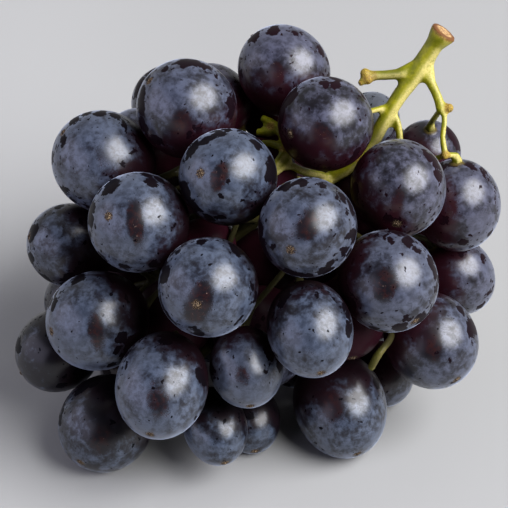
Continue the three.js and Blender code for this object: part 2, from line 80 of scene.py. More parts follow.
# Shape of the berries
SEED = 11
RINGS = 64
SEGMENTS = 64
POLE_CROWDING = 0.85  # how much closer together the rings lie at both ends
FLAT_SOFTNESS = 0.12 * MM  # round-over of the flat spot of a berry that rests on the table
FLAT_TOP = 0.8 * MM  # below this a berry's solid may be cut by its flat spot
LUMP = 0.07 * MM  # unevenness of a berry, from a few waves
LUMP_WAVES = 3
LUMP_TURNS = (1.5, 3.2)  # how fast the waves change over the berry, in radians per radius
LUMP_PHASE = (0, 6.3)
# Relief at both ends of a berry: height and reach in mm, and how steep its edge is
TIP_DIMPLE = (-0.14, 1.5, 2)
TIP_SCAR = (0.30, 0.42, 4)
STALK_DIMPLE = (-0.25, 2.8, 2)
STALK_COLLAR = (0.58, 1.5, 6)
# The crumbled edge of the scar: its place, height and width in mm, and its waves round the axis
SCAR_EDGE = 0.55
SCAR_CRUMBLE = 0.07
SCAR_EDGE_WIDTH = 0.35
SCAR_EDGE_STEEPNESS = 2
SCAR_WAVES = (5, 3)
SCAR_PHASE = (0, 6)

# How much bloom the berries in view carry, how bare they are in front, where a painted dark reflection
# lies, and how purple they are
BLOOM = [0.80, 0.42, 0.66, 0.88, 0.80, 0.92, 0.68, 0.62, 0.74, 0.40, 0.72, 0.70, 0.76, 1.05, 0.78,
         0.90, 0.58, 0.0, 0.30, 0.7, 0.6, 0.85, 0.5, 0.74, 0.66, 0.7, 1.2, 0.5, 0.1, 0.1]
REFLECTION_PATCH = [0.9, 1.0, 0.8, 0.5, 1.0, 1.0, 0.9, 0.7, 0.6, 0.4, 1.0, 0.9, 0.4, 0.8, 0.7,
         0.9, 0.3, 0.0, 0.7, 0.7, 0.9, 0.3, 0.2, 0.1, 0.0, 0.3, 0.0, 0.5, 0.3, 0.3]
PURPLE = [0.7, 0.7, 0.4, 0.2, 0.15, 0.1, 0.25, 0.7, 0.7, 0.9, 0.1, 0.4, 0.1, 0.2, 0.1,
          0.1, 0.1, 0.0, 0.0, 0.1, 0.4, 0.6, 0.4, 0.0, 0.0, 1.0, 0.5, 0.4, 0.2, 0.3]
# The same for the other berries, drawn at random, and how much less bloom the berries inside the bunch get,
# which paints shade on them
OTHER_BLOOM = (0.35, 0.75)
OTHER_PATCH = (0, 1)
OTHER_PURPLE = (0.1, 0.8)
INNER_FROM = 47  # the berries after this many lie inside the bunch
INNER_PAINTED_SHADE = 1.3

# The bare patch in front of a berry, a painted dark reflection of the room round the eye, in shares of its
# radius:
# across and upwards, where its middle lies and how far it reaches, then its lean and its soft edge
PATCH_ACROSS = (-0.16, 0.04)
PATCH_WIDTH = (0.16, 0.3)
PATCH_UPWARD = (-0.3, 0.1)
PATCH_HEIGHT = (0.28, 0.5)
PATCH_LEAN = (-0.5, 0.5)
PATCH_EDGE = (0.2, 1.7)
# Where a berry is rubbed: near other berries, and in a ring near its edge, by how far it faces the eye
TOUCHING = (0.4 * MM, 5.0 * MM)
RING_OUTSIDE = (0.02, 0.25)
RING_INSIDE = (0.4, 0.75)
RING_SHARE = 0.9
LOW_BERRIES = -12 * MM  # berries below this in the view have clean undersides
CLEAN_SIDE = (-0.3, 0.3)
NEIGHBOUR_REACH = 40 * MM  # berries further away than this, middle to middle, don't touch
FARTHEST = 9  # mm; the skin isn't told of greater distances from the tip and the stalk

# Skin: what a berry's mesh tells it, where "closed" is how much the other berries shut it in, which paints
# shade on the skin, and its noises by scale per mm, detail, roughness and warp
SKIN_ATTRIBUTES = ("bloom", "purple", "rub", "closed", "patch", "tip_distance", "base_distance")
SKIN_NOISES = {
    "smoke": (0.15, 4.0, 0.55, 0.8),
    "streaks": (0.55, 6.0, 0.68, 0.25),
    "grain": (4.5, 4.0, 0.7),
    "dots": (0.9, 1.5, 0.5, 0.2),
    "crumbs": (3.4, 2.0, 0.6),
}
# Layers of the skin: the value that each starts from, how much others add to it, and where the sum
# is nothing and where it is full
SKIN_LAYERS = {
    # the painted dark reflection in front of a berry, with ragged edges
    "dark_reflection": ("patch", {"grain": 1.0, "streaks": 1.6}, (1.55, 2.25)),
    # bloom is taken off as painted shade where other berries shut the skin in, and in the painted dark
    # reflection
    "cover": ("bloom", {"smoke": 2.4, "streaks": 2.2, "grain": 0.3, "closed": -0.75, "dark_reflection": -1.3},
              (2.4, 3.35)),
    "big_marks": ("cell_distance", {"cell_reach": -1.0, "streaks": 0.25}, (0.19, 0.145)),
    "small_marks": ("dots", {"rub": 0.12}, (0.715, 0.75)),
    # painted shade: where other berries shut the skin in, and on the berries inside the bunch
    "shaded": ("closed", {"smoke": 0.5, "purple": -0.25}, (0.85, 1.5)),
    "inner": ("bloom", {}, (-0.2, -0.4)),
    "scar": ("tip_distance", {"crumbs": 2.0}, (2.3, 1.85)),
    "pale_scar": ("grain", {}, (0.50, 0.62)),
    "rim": ("base_distance", {}, (2.2, 1.2)),
    # pale specks, partly crust and partly painted glints, a little more in the painted dark reflection
    "specks": ("crumbs", {"patch": 0.1}, (0.79, 0.83)),
    # painted shade: redder skin where other berries shut it in, and a little in the painted dark reflection
    "red": ("closed", {"smoke": 0.8, "patch": 0.25}, (0.55, 1.2)),
    "brown": ("dots", {"grain": 1.0}, (0.92, 1.2)),
    "thick": ("streaks", {}, (0.36, 0.66)),
    "whole": ("bloom", {}, (1.0, 1.5)),
}
SKIN_RELIEF = {"grain": 0.32, "specks": 1.0}
SKIN_BUMP = {"Strength": 0.15, "Distance": 0.12 * MM}
# Cells of the dark marks: how their outlines wander, their stretch and scale per mm, what share of
# them has no mark, and how much further the marks reach where the berry is rubbed
CELL_WANDER = (0.45, 3.0, 0.6)
CELL_WANDER_REACH = (3.2, 3.2, 3.2)
CELL_STRETCH = (1.25, 0.7, 1.0)
CELL_SCALE = 0.27
EMPTY_CELLS = 0.31
RUBBED_REACH = 1.7
COMMON_REACH = 0.25
# Colours of the skin: pairs go from a blue berry to a purple one, or from dark to pale in the scar
MARK_COLORS = (color(0.003, 0.0025, 0.004), color(0.012, 0.003, 0.006))
# painted shade where the skin is shut in: near black for a blue berry, maroon for a purple one
SHADED_COLORS = (color(0.004, 0.003, 0.004), color(0.052, 0.008, 0.017))
SCAR_COLORS = (color(0.030, 0.018, 0.012), color(0.32, 0.235, 0.145))
# pale specks: partly crust, partly painted glints
SPECK_AND_GLINT_COLOR = color(0.42, 0.31, 0.24)
RIM_COLOR = color(0.10, 0.075, 0.02)
BLACK_SKIN = color(0.006, 0.005, 0.008)
# painted shade: the red of the skin where other berries shut it in
PAINTED_SHADE_REDS = (color(0.009, 0.004, 0.006), color(0.032, 0.006, 0.011))
# the brownish colour inside the painted dark reflection in front
DARK_REFLECTION_BROWN = color(0.026, 0.007, 0.007)
THIN_BLOOM = (color(0.024, 0.033, 0.054), color(0.031, 0.028, 0.047))
THICK_BLOOM = (color(0.061, 0.081, 0.123), color(0.074, 0.070, 0.108))
WHOLE_BLOOM = color(0.20, 0.22, 0.24)
# Finishes of the skin
BARE_FINISH = {"Roughness": 0.28, "IOR": 1.45}
BLOOM_FINISH = {"Roughness": 0.31, "IOR": 1.6, "Sheen Weight": 0.65, "Sheen Roughness": 0.3,
                "Sheen Tint": color(0.66, 0.76, 1.0)}
DULL_FINISH = {"Roughness": 0.4, "IOR": 1.15}

# The stem's looks, in the same form
STEM_ATTRIBUTES = ("brown", "cut", "depth", "painted_highlight")
STEM_NOISES = {
    "patches": (0.35, 4.0, 0.6, 0.4),
    "fibres": (2.2, 5.0, 0.65, 0.8),
    "specks": (5.5, 2.0, 0.6),
    "blots": (1.8, 3.0, 0.6, 0.5),
}
STEM_LAYERS = {
    "light_green": ("patches", {}, (0.35, 0.68)),
    "yellow_fibres": ("fibres", {}, (0.55, 0.8)),
    "highlight_fibres": ("fibres", {}, (0.2, 0.6)),
    "light_bark": ("specks", {}, (0.4, 0.65)),
    "worn": ("brown", {"specks": 0.9}, (0.75, 1.35)),
    "light_wood": ("blots", {}, (0.42, 0.58)),
    "ringed": ("brown", {"blots": 0.7}, (0.65, 1.1)),
}
STEM_RELIEF = {"specks": 0.5, "cut_blots": 6.0}
STEM_BUMP = {"Strength": 0.16, "Distance": 0.2 * MM}
GREENS = (color(0.17, 0.18, 0.002), color(0.33, 0.31, 0.008))
FIBRE_COLOR = color(0.44, 0.37, 0.04)
# painted highlight on the stem's side that faces the light
PAINTED_HIGHLIGHT_COLOR = color(0.62, 0.53, 0.17)
BARKS = (color(0.17, 0.085, 0.018), color(0.50, 0.36, 0.06))
# painted shade on the stem between the berries
PAINTED_SHADE_COLOR = color(0.028, 0.024, 0.004)
WOODS = (color(0.24, 0.11, 0.03), color(0.60, 0.39, 0.18))
RING_COLOR = color(0.15, 0.060, 0.018)
STEM_ROUGHNESS = (0.42, 0.9)  # where it is green, and where it is brown or deep in the bunch
STEM_FINISH = {"IOR": 1.3, "Coat Weight": 0.15, "Coat Roughness": 0.3, "Subsurface Weight": 0.06,
               "Subsurface Radius": (0.9, 1.0, 0.2), "Subsurface Scale": 1.0 * MM}

# Shape of the stem
VOXEL = 0.28 * MM
FILLET = 0.75 * MM  # the stem is grown and shrunk again by this, which rounds its forks
THICKER = 0.18 * MM
FACES_KEPT = 0.45  # share of the stem's fine faces, which keeps it well under 200,000 triangles
SMOOTHING_ROUNDS = 10
SMOOTHING = (0.5, -0.52)  # how far each round moves the corners inwards, then outwards
TWIG_PROFILE = 2  # how finely the small twigs are rounded
CUT_MIDDLE = (444, 32, 13.8)  # the cut end and a place below it: pixels and nearness in mm
CUT_FROM = (434, 45, 12.3)
CUT_REACH = 6 * MM
FLARE = 0.26  # how much wider the stalk is at its cut end
FLARE_LENGTH = 4.5 * MM
# Bits of twig seen between the grapes: pixels, nearness in mm and radius in mm
SMALL_TWIGS = [
    [(325, 176, 5, 0.9), (303, 172, 10, 0.8), (290, 164, 14.5, 0.75), (276, 170, 15, 0.6)],
    [(290, 164, 14.5, 0.7), (287, 152, 14.5, 0.7), (275, 143, 13, 0.8), (262, 143, 12, 0.6)],
    [(287, 152, 14.5, 0.7), (284, 140, 12, 0.8), (279, 128, 9, 0.9), (270, 122, 8, 0.9),
     (262, 118, 7.5, 0.7)],
    [(279, 130, 9, 0.8), (268, 133, 8.5, 0.9), (257, 132, 8, 0.7)],
    [(184, 166, 3, 0.7), (173, 174, 6, 0.9), (160, 178, 5, 0.7)],
    [(372, 325, 15, 0.7), (366, 334, 17, 0.9), (362, 343, 17, 0.6), (359, 352, 15, 0.6)],
    [(392, 338, 13, 0.7), (383, 348, 16.5, 0.7), (376, 357, 17, 0.9), (371, 368, 14, 0.7)],
]
# The same at the fork of the stalk, where they fill its corners
FORK_WEBS = [
    [(426, 57, 11, 0.9), (411, 68, 10.2, 1.2), (397, 73.5, 10.5, 0.9)],
    [(428, 58, 10.8, 1.0), (428.5, 70, 10.2, 1.25), (431, 80, 10.2, 0.9)],
]

# Brown places on the stem: pixels, nearness in mm and reach in mm
BROWN_MARKS = [
    (365.3, 73.4, 12, 1.5), (367.7, 79.3, 12.3, 1.7), (372.5, 76, 11.6, 1.5), (359.5, 83.5, 12.3, 1.0),
    (449, 108, 10.4, 1.6), (445, 155.5, 10.2, 1.5), (434, 158.5, 7.5, 1.4), (371.7, 146.5, 6.8, 1.5),
    (272, 127, 8.5, 1.5), (284, 150, 14.5, 1.2), (360, 160, 7, 1.3), (336, 176, 6, 1.0),
]
BROWN_EDGE = (0.5, 1.4)  # shares of a mark's reach, from full to nothing
# Places on the stem painted darker as painted shade: pixels, nearness in mm, reach in mm and how much
PAINTED_SHADE_PLACES = [(373, 346, 16.5, 7.5, 0.85), (385, 75, 11, 4.2, 0.45)]
PAINTED_SHADE_EDGE = (0.6, 1.2)
# Painted shade darkens the stem where the berries fill this share of the view round it, but hardly at the
# gap at the top of the bunch, where light falls in: pixels and nearness in mm
CROWDED = (0.75, 1.1)
TOP_GAP = (300, 152, 9)
TOP_GAP_EDGE = (13 * MM, 19 * MM)
TOP_GAP_SHARE = 0.95
# The cut end: how far below it its face and its brown edge fade out, and on its face a brown ring and
# a fainter brown pith, in mm from the middle
FACE_DEPTH = (0.12 * MM, 0.35 * MM)
BROWN_DEPTH = (0.3 * MM, 1.4 * MM)
RING_REACH = (1.2, 2.2)
PITH_REACH = (0.2, 0.7)
PITH_SHARE = 0.4
PAINTED_HIGHLIGHT_SIDE = (0.6, -0.3, 0.74)  # painted highlight: the stem is painted paler on the side that faces this way in the view
PAINTED_HIGHLIGHT_EDGE = (0.62, 0.97)


def from_view(px, py, near):
    """A place from a pixel of the photograph and a distance in mm towards the eye."""
    scale = PIXEL * (DISTANCE - near * MM) / DISTANCE
    return AIM + RIGHT * ((px - IMAGE / 2) * scale) + UP * ((IMAGE / 2 - py) * scale) + NEAR * (near * MM)


def in_view_axes(right, up, near):
    return RIGHT * right + UP * up + NEAR * near


# Material nodes


def fill(tree, node, inputs):
    """Set a node's inputs; an input that is given a socket is linked to it."""
    for key, value in inputs.items():
        if isinstance(value, bpy.types.NodeSocket):
            tree.links.new(value, node.inputs[key])
        else:
            node.inputs[key].default_value = value


def add(tree, kind, inputs=None, **settings):
    """A new shader node."""
    made = tree.nodes.new("ShaderNode" + kind)
    for key, value in settings.items():
        setattr(made, key, value)
    fill(tree, made, inputs or {})
    return made


def math_node(tree, operation, a, b, c=0.0):
    return add(tree, "Math", {0: a, 1: b, 2: c}, operation=operation).outputs[0]


def highest(tree, first, *others):
    for other in others:
        first = math_node(tree, "MAXIMUM", first, other)
    return first


def mix_color(tree, factor, a, b):
    return add(tree, "Mix", {0: factor, 6: a, 7: b}, data_type="RGBA").outputs[2]


def mix_value(tree, factor, a, b):
    return add(tree, "Mix", {0: factor, 2: a, 3: b}, data_type="FLOAT").outputs[0]


def step(tree, value, nothing, full):
    """0 on one side and 1 on the other, with a smooth change between."""
    made = add(tree, "MapRange", {0: value, 1: nothing, 2: full}, interpolation_type="SMOOTHSTEP")
    return made.outputs[0]


def noise_node(tree, place, scale, detail, rough, warp=0.0):
    inputs = {"Vector": place, "Scale": scale, "Detail": detail, "Roughness": rough, "Distortion": warp}
    return add(tree, "TexNoise", inputs)


def noise(tree, place, *settings):
    return noise_node(tree, place, *settings).outputs[0]


def attribute(tree, name):
    return add(tree, "Attribute", attribute_name=name).outputs["Fac"]


def weighted(tree, given, start, weights):
    """One of the given sockets plus others, each times its weight."""
    result = given[start]
    for name, weight in weights.items():
        result = math_node(tree, "MULTIPLY_ADD", given[name], weight, result)
    return result


def add_layers(tree, given, layers):
    for name, (start, weights, edge) in layers.items():
        given[name] = step(tree, weighted(tree, given, start, weights), *edge)


def given_sockets(tree, place, attributes, noises):
    """What a material is made from: what its mesh tells, and noises."""
    given = {name: attribute(tree, name) for name in attributes}
    for name, settings in noises.items():
        given[name] = noise(tree, place, *settings)
    return given


def new_material(name):
    """A material with one shader, and the place on its object in mm."""
    material = bpy.data.materials.new(name)
    material.use_nodes = True
    tree = material.node_tree
    tree.nodes.clear()
    shader = add(tree, "BsdfPrincipled")
    output = add(tree, "OutputMaterial", {"Surface": shader.outputs[0]})
    output.is_active_output = True
    place = add(tree, "VectorMath", {0: add(tree, "TexCoord").outputs["Object"], "Scale": 1 / MM},
                operation="SCALE").outputs[0]
    return material, tree, shader, place


# Materials


def add_cells(tree, given, place):
    """Uneven cells, in which the big marks lie."""
    wander = noise_node(tree, place, *CELL_WANDER).outputs["Color"]
    bent = add(tree, "VectorMath", {0: wander, 1: CELL_WANDER_REACH, 2: place}, operation="MULTIPLY_ADD")
    stretched = add(tree, "VectorMath", {0: bent.outputs[0], 1: CELL_STRETCH}, operation="MULTIPLY")
    cells = add(tree, "TexVoronoi", {"Vector": stretched.outputs[0], "Scale": CELL_SCALE})
    size = math_node(tree, "SUBTRACT", cells.outputs["Color"], EMPTY_CELLS)
    growth = math_node(tree, "MULTIPLY_ADD", given["rub"], RUBBED_REACH, COMMON_REACH)
    given["cell_distance"] = cells.outputs["Distance"]
    given["cell_reach"] = math_node(tree, "MULTIPLY", size, growth)


def dull_color(tree, given, painted_deep_shade):
    """Dark marks, painted shade where the skin is shut in, the dried scar at the tip, the rim round the
    stalk, and pale specks that are partly painted glints.
    """
    purple = given["purple"]
    marked = mix_color(tree, purple, *MARK_COLORS)
    dark = mix_color(tree, painted_deep_shade, marked, mix_color(tree, purple, *SHADED_COLORS))
    dark = mix_color(tree, given["specks"], dark, SPECK_AND_GLINT_COLOR)
    dark = mix_color(tree, given["scar"], dark, mix_color(tree, given["pale_scar"], *SCAR_COLORS))
    return mix_color(tree, given["rim"], dark, RIM_COLOR)


def bare_color(tree, given):
    """Nearly black skin, painted redder between the berries as painted shade, and brownish in the painted
    dark reflection in front.
    """
    skin = mix_color(tree, given["red"], BLACK_SKIN, mix_color(tree, given["purple"], *PAINTED_SHADE_REDS))
    brownish = math_node(tree, "MULTIPLY", given["dark_reflection"], given["brown"])
    return mix_color(tree, brownish, skin, DARK_REFLECTION_BROWN)


def bloom_color(tree, given):
    """Blue-grey bloom, thin and thick in streaks, and paler where nothing has touched it."""
    thin = mix_color(tree, given["purple"], *THIN_BLOOM)
    thick = mix_color(tree, given["purple"], *THICK_BLOOM)
    return mix_color(tree, given["whole"], mix_color(tree, given["thick"], thin, thick), WHOLE_BLOOM)


def skin_material():
    """Dark skin under a patchy blue-grey bloom, rubbed off where berries touch, with painted shade between
    the berries and a painted dark reflection in front.
    """
    material, tree, bare, place = new_material("grape_skin")
    given = given_sockets(tree, place, SKIN_ATTRIBUTES, SKIN_NOISES)
    add_cells(tree, given, place)
    add_layers(tree, given, SKIN_LAYERS)
    painted_deep_shade = highest(tree, given["shaded"], given["inner"])
    dull = highest(tree, given["big_marks"], given["small_marks"], painted_deep_shade, given["scar"], given["rim"],
                   given["specks"])
    height = weighted(tree, given, "streaks", SKIN_RELIEF)
    bump = add(tree, "Bump", {"Height": height, **SKIN_BUMP}).outputs[0]
    bloom = add(tree, "BsdfPrincipled")
    rough = add(tree, "BsdfPrincipled")
    fill(tree, bare, {"Base Color": bare_color(tree, given), "Normal": bump, **BARE_FINISH})
    fill(tree, bloom, {"Base Color": bloom_color(tree, given), "Normal": bump, **BLOOM_FINISH})
    fill(tree, rough, {"Base Color": dull_color(tree, given, painted_deep_shade), "Normal": bump, **DULL_FINISH})
    both = add(tree, "MixShader", {0: given["cover"], 1: bare.outputs[0], 2: bloom.outputs[0]})
    every = add(tree, "MixShader", {0: dull, 1: both.outputs[0], 2: rough.outputs[0]})
    tree.links.new(every.outputs[0], tree.nodes["Material Output"].inputs["Surface"])
    return material


def green_color(tree, given):
    """Green in patches, with yellow fibres, and a painted highlight on the side that faces the light."""
    green = mix_color(tree, given["light_green"], *GREENS)
    green = mix_color(tree, given["yellow_fibres"], green, FIBRE_COLOR)
    painted_highlight = math_node(tree, "MULTIPLY", given["painted_highlight"], given["highlight_fibres"])
    return mix_color(tree, painted_highlight, green, PAINTED_HIGHLIGHT_COLOR)


def stem_color(tree, given):
    """Green stem with brown scars, painted shade between the berries, and the wood of the cut end."""
    surface = green_color(tree, given)
    surface = mix_color(tree, given["worn"], surface, mix_color(tree, given["light_bark"], *BARKS))
    surface = mix_color(tree, given["depth"], surface, PAINTED_SHADE_COLOR)
    wood = mix_color(tree, given["light_wood"], *WOODS)
    wood = mix_color(tree, given["ringed"], wood, RING_COLOR)
    return mix_color(tree, given["cut"], surface, wood)


def stem_material():
    """Fresh yellow-green stem, brown at scars and at the cut end."""
    material, tree, shader, place = new_material("green_stem")
    given = given_sockets(tree, place, STEM_ATTRIBUTES, STEM_NOISES)
    given["cut_blots"] = math_node(tree, "MULTIPLY", given["cut"], given["blots"])
    add_layers(tree, given, STEM_LAYERS)
    dull = highest(tree, given["brown"], given["depth"])
    height = weighted(tree, given, "fibres", STEM_RELIEF)
    fill(tree, shader, {
        "Base Color": stem_color(tree, given),
        "Roughness": mix_value(tree, dull, *STEM_ROUGHNESS),
        "Normal": add(tree, "Bump", {"Height": height, **STEM_BUMP}).outputs[0],
        **STEM_FINISH,
    })
    return material


def floor_material():
    """A pale floor, with painted light that makes it a little paler to the left."""
    material, tree, shader, place = new_material("pale_floor")
    clouds = noise(tree, place, *FLOOR_NOISE)
    across = add(tree, "SeparateXYZ", {0: place}).outputs["X"]
    left = step(tree, math_node(tree, "MULTIPLY_ADD", clouds, FLOOR_WANDER, across), *FLOOR_PAINTED_LIGHT_CHANGE)
    fill(tree, shader, {"Base Color": mix_color(tree, left, *FLOOR_PAINTED_LIGHT_COLORS), "Roughness": FLOOR_ROUGHNESS})
    return material


# Meshes


def places_of(mesh):
    flat = np.empty(len(mesh.vertices) * 3)
    mesh.vertices.foreach_get("co", flat)
    return flat.reshape(-1, 3)


def give_attribute(mesh, name, values):
    made = mesh.attributes.new(name, "FLOAT", "POINT")
    made.data.foreach_set("value", np.asarray(values, np.float32))


def smooth_rise(value, low, high):
    t = np.clip((value - low) / (high - low), 0, 1)
    return t * t * (3 - 2 * t)


def smooth_fall(value, low, high):
    return 1 - smooth_rise(value, low, high)


def add_piece(name, mesh, material, node):
    piece = bpy.data.objects.new(name, mesh)
    bpy.context.scene.collection.objects.link(piece)
    mesh.materials.append(material)
    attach(piece, "root")
    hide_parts(node)


# Berries


def fit_berry(name, stem_places):
    """The ellipsoid of revolution that a berry's solid has its corners on; its axis points to the tip."""
    places = places_of(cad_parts[name].data)
    places = places[places[:, 2] > FLAT_TOP]
    start = places.mean(axis=0)
    x, y, z = ((places - start) / MM).T
    rows = np.stack([x * x, y * y, z * z, 2 * x * y, 2 * x * z, 2 * y * z, 2 * x, 2 * y, 2 * z], axis=1)
    k = np.linalg.lstsq(rows, np.ones(len(rows)), rcond=None)[0]
    form = np.array([[k[0], k[3], k[4]], [k[3], k[1], k[5]], [k[4], k[5], k[2]]])
    middle = -np.linalg.solve(form, k[6:])
    values, directions = np.linalg.eigh(form / (1 + middle @ form @ middle))
    halves = MM / np.sqrt(values)
    centre = start + middle * MM
    axis = directions[:, 0]
    to_stem = [np.linalg.norm(stem_places - (centre + side * halves[0] * axis), axis=1).min()
               for side in (1, -1)]
    if to_stem[0] < to_stem[1]:
        axis = -axis
    return {"name": name, "centre": centre, "axis": axis, "long": halves[0], "wide": halves[1:].mean()}


def berry_grid(berry):
    """Corners of a plain berry from tip to stalk: angle from the tip, turn round the axis, way, place."""
    axis = Vector(berry["axis"])
    side = axis.orthogonal().normalized()
    other = axis.cross(side)
    share = np.arange(1, RINGS) / RINGS
    angles = math.pi * share - POLE_CROWDING * np.sin(2 * math.pi * share) / 2
    turns = 2 * math.pi * np.arange(SEGMENTS) / SEGMENTS
    angle = np.concatenate([[0], np.repeat(angles, SEGMENTS), [math.pi]])
    turn = np.concatenate([[0], np.tile(turns, RINGS - 1), [0]])
    outward = np.outer(np.cos(turn), side) + np.outer(np.sin(turn), other)
    ways = np.outer(np.cos(angle), axis) + np.sin(angle)[:, None] * outward
    long_way = np.outer(np.cos(angle) * berry["long"], axis)
    places = long_way + (np.sin(angle) * berry["wide"])[:, None] * outward
    return angle, turn, ways, places


def berry_faces():
    """Faces between the corners of a berry, ring by ring."""
    pairs = [(k, (k + 1) % SEGMENTS) for k in range(SEGMENTS)]
    last = 1 + (RINGS - 2) * SEGMENTS
    faces = [(0, 1 + k, 1 + after) for k, after in pairs]
    for ring in range(1, last, SEGMENTS):
        following = ring + SEGMENTS
        faces += [(ring + k, following + k, following + after, ring + after) for k, after in pairs]
    faces += [(last + after, last + k, last + SEGMENTS) for k, after in pairs]
    return faces


def relief(distance, height, reach, steepness):
    return MM * height * np.exp(-((distance / reach) ** steepness))


def berry_relief(turn, ways, tip, base, draw):
    """How far the skin stands out: slight lumps, the scar at the tip and the collar at the stalk."""
    rise = np.zeros(len(ways))
    for _ in range(LUMP_WAVES):
        wave = np.array([draw.uniform(-1, 1) for _ in range(3)])
        wave *= draw.uniform(*LUMP_TURNS) / np.linalg.norm(wave)
        rise += LUMP / 2 * np.sin(ways @ wave + draw.uniform(*LUMP_PHASE))
    crumble = SCAR_CRUMBLE
    for waves in SCAR_WAVES:
        crumble = crumble * np.sin(waves * turn + draw.uniform(*SCAR_PHASE))
    rise += relief(tip, *TIP_DIMPLE) + relief(tip, *TIP_SCAR)
    rise += relief(tip - SCAR_EDGE, crumble, SCAR_EDGE_WIDTH, SCAR_EDGE_STEEPNESS)
    rise += relief(base, *STALK_DIMPLE) + relief(base, *STALK_COLLAR)
    return rise


def outside_of(berry, places):
    """About how far places lie outside a berry's skin."""
    away = places - berry["centre"]
    along = away @ berry["axis"]
    across = np.linalg.norm(away - np.outer(along, berry["axis"]), axis=1)
    return (np.hypot(along / berry["long"], across / berry["wide"]) - 1) * berry["wide"]


def gap_to_others(places, berries, own):
    """How far the nearest other berry is from each place."""
    gap = np.full(len(places), NEIGHBOUR_REACH)
    for berry in berries:
        apart = np.linalg.norm(berry["centre"] - own["centre"])
        if berry is not own and apart < NEIGHBOUR_REACH:
            gap = np.minimum(gap, outside_of(berry, places))
    return gap


def filled_share(places, ways, berries, own):
    """How much of what each place looks out on is filled by the other berries."""
    total = np.zeros(len(places))
    for berry in berries:
        if berry is not own:
            towards = berry["centre"] - places
            far = np.linalg.norm(towards, axis=1)
            facing = np.clip((towards * ways).sum(axis=1) / far, 0, 1)
            total += facing * np.minimum((berry["wide"] / far) ** 2, 1)
    return total


def front_axes(berry):
    """A berry's front and the ways across and up on it; the front faces the eye, or outwards if hidden."""
    outward = berry["centre"] - np.array(AIM)
    to_eye = np.array(AIM + NEAR * DISTANCE) - berry["centre"]
    front = Vector(to_eye if berry["seen"] else outward).normalized()
    across = RIGHT.cross(front).cross(-front).normalized()
    return front, across, front.cross(across)


def painted_reflection_patch(ways, front, across, up, draw):
    """1 in the middle of a bare patch on the front of a berry, a painted dark reflection of the room round
    the eye, and 0 away from it.
    """
    sideways = (ways @ across - draw.uniform(*PATCH_ACROSS)) / draw.uniform(*PATCH_WIDTH)
    upward = (ways @ up - draw.uniform(*PATCH_UPWARD)) / draw.uniform(*PATCH_HEIGHT)
    lean = draw.uniform(*PATCH_LEAN)
    return smooth_fall(np.hypot(sideways + lean * upward, upward), *PATCH_EDGE) * (ways @ front > 0)


def rubbed(berry, places, ways, berries, front, up):
    """1 where other berries or hands rubbed the bloom off."""
    facing = ways @ front
    ring = smooth_rise(facing, *RING_OUTSIDE) * smooth_fall(facing, *RING_INSIDE)
    if (berry["centre"] - np.array(AIM)).dot(up) < LOW_BERRIES:
        ring *= smooth_rise(ways @ up, *CLEAN_SIDE)
    touched = smooth_fall(gap_to_others(places, berries, berry), *TOUCHING)
    return np.maximum(touched, RING_SHARE * ring)


def berry_mesh(berry, berries, draw):
    """A berry with its scar at the tip and its collar at the stalk, and what its skin needs to know."""
    angle, turn, ways, places = berry_grid(berry)
    tip = angle * berry["wide"] / MM
    base = (math.pi - angle) * berry["wide"] / MM
    rise = berry_relief(turn, ways, tip, base, draw)
    places = places * (1 + rise / np.linalg.norm(places, axis=1))[:, None] + berry["centre"]
    # A low berry is flat where it rests on the table, with a soft edge
    low = places[:, 2] < FLAT_TOP
    places[low, 2] = FLAT_SOFTNESS * np.log1p(np.exp(places[low, 2] / FLAT_SOFTNESS))
    mesh = bpy.data.meshes.new(berry["name"])
    mesh.from_pydata(places.tolist(), [], berry_faces())
    mesh.shade_smooth()

    front, across, up = front_axes(berry)
    # the painted dark reflection of the room round the eye, as a bare patch in front
    give_attribute(mesh, "patch", berry["patch"] * painted_reflection_patch(ways, front, across, up, draw))
    give_attribute(mesh, "rub", rubbed(berry, places, ways, berries, front, up))
    # how much the other berries shut each place in, which paints shade on the skin
    give_attribute(mesh, "closed", filled_share(places, ways, berries, berry))
    give_attribute(mesh, "tip_distance", np.minimum(tip, FARTHEST))
    give_attribute(mesh, "base_distance", np.minimum(base, FARTHEST))
    give_attribute(mesh, "bloom", np.full(len(places), berry["bloom"]))
    give_attribute(mesh, "purple", np.full(len(places), berry["purple"]))
    return mesh


def set_looks(berry, i, draw):
    """How much bloom a berry carries, how purple it is and how bare in front, where a painted dark
    reflection lies.
    """
    berry["seen"] = i < len(BLOOM)
    if berry["seen"]:
        berry["bloom"] = BLOOM[i]
        berry["purple"] = PURPLE[i]
        berry["patch"] = REFLECTION_PATCH[i]
    else:
        # berries inside the bunch get less bloom, which paints shade on them
        berry["bloom"] = draw.uniform(*OTHER_BLOOM) - INNER_PAINTED_SHADE * (i >= INNER_FROM)
        berry["purple"] = draw.uniform(*OTHER_PURPLE)
        berry["patch"] = draw.uniform(*OTHER_PATCH)


def make_berries():
    stem_places = places_of(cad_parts["stem"].data)
    names = sorted(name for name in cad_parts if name.startswith("berry"))
    draw = random.Random(SEED)
    berries = [fit_berry(name, stem_places) for name in names]
    for i, berry in enumerate(berries):
        set_looks(berry, i, draw)
    skin = skin_material()
    for berry in berries:
        mesh = berry_mesh(berry, berries, draw)
        add_piece(berry["name"].replace("berry", "grape"), mesh, skin, berry["name"])
    return berries


# The stem


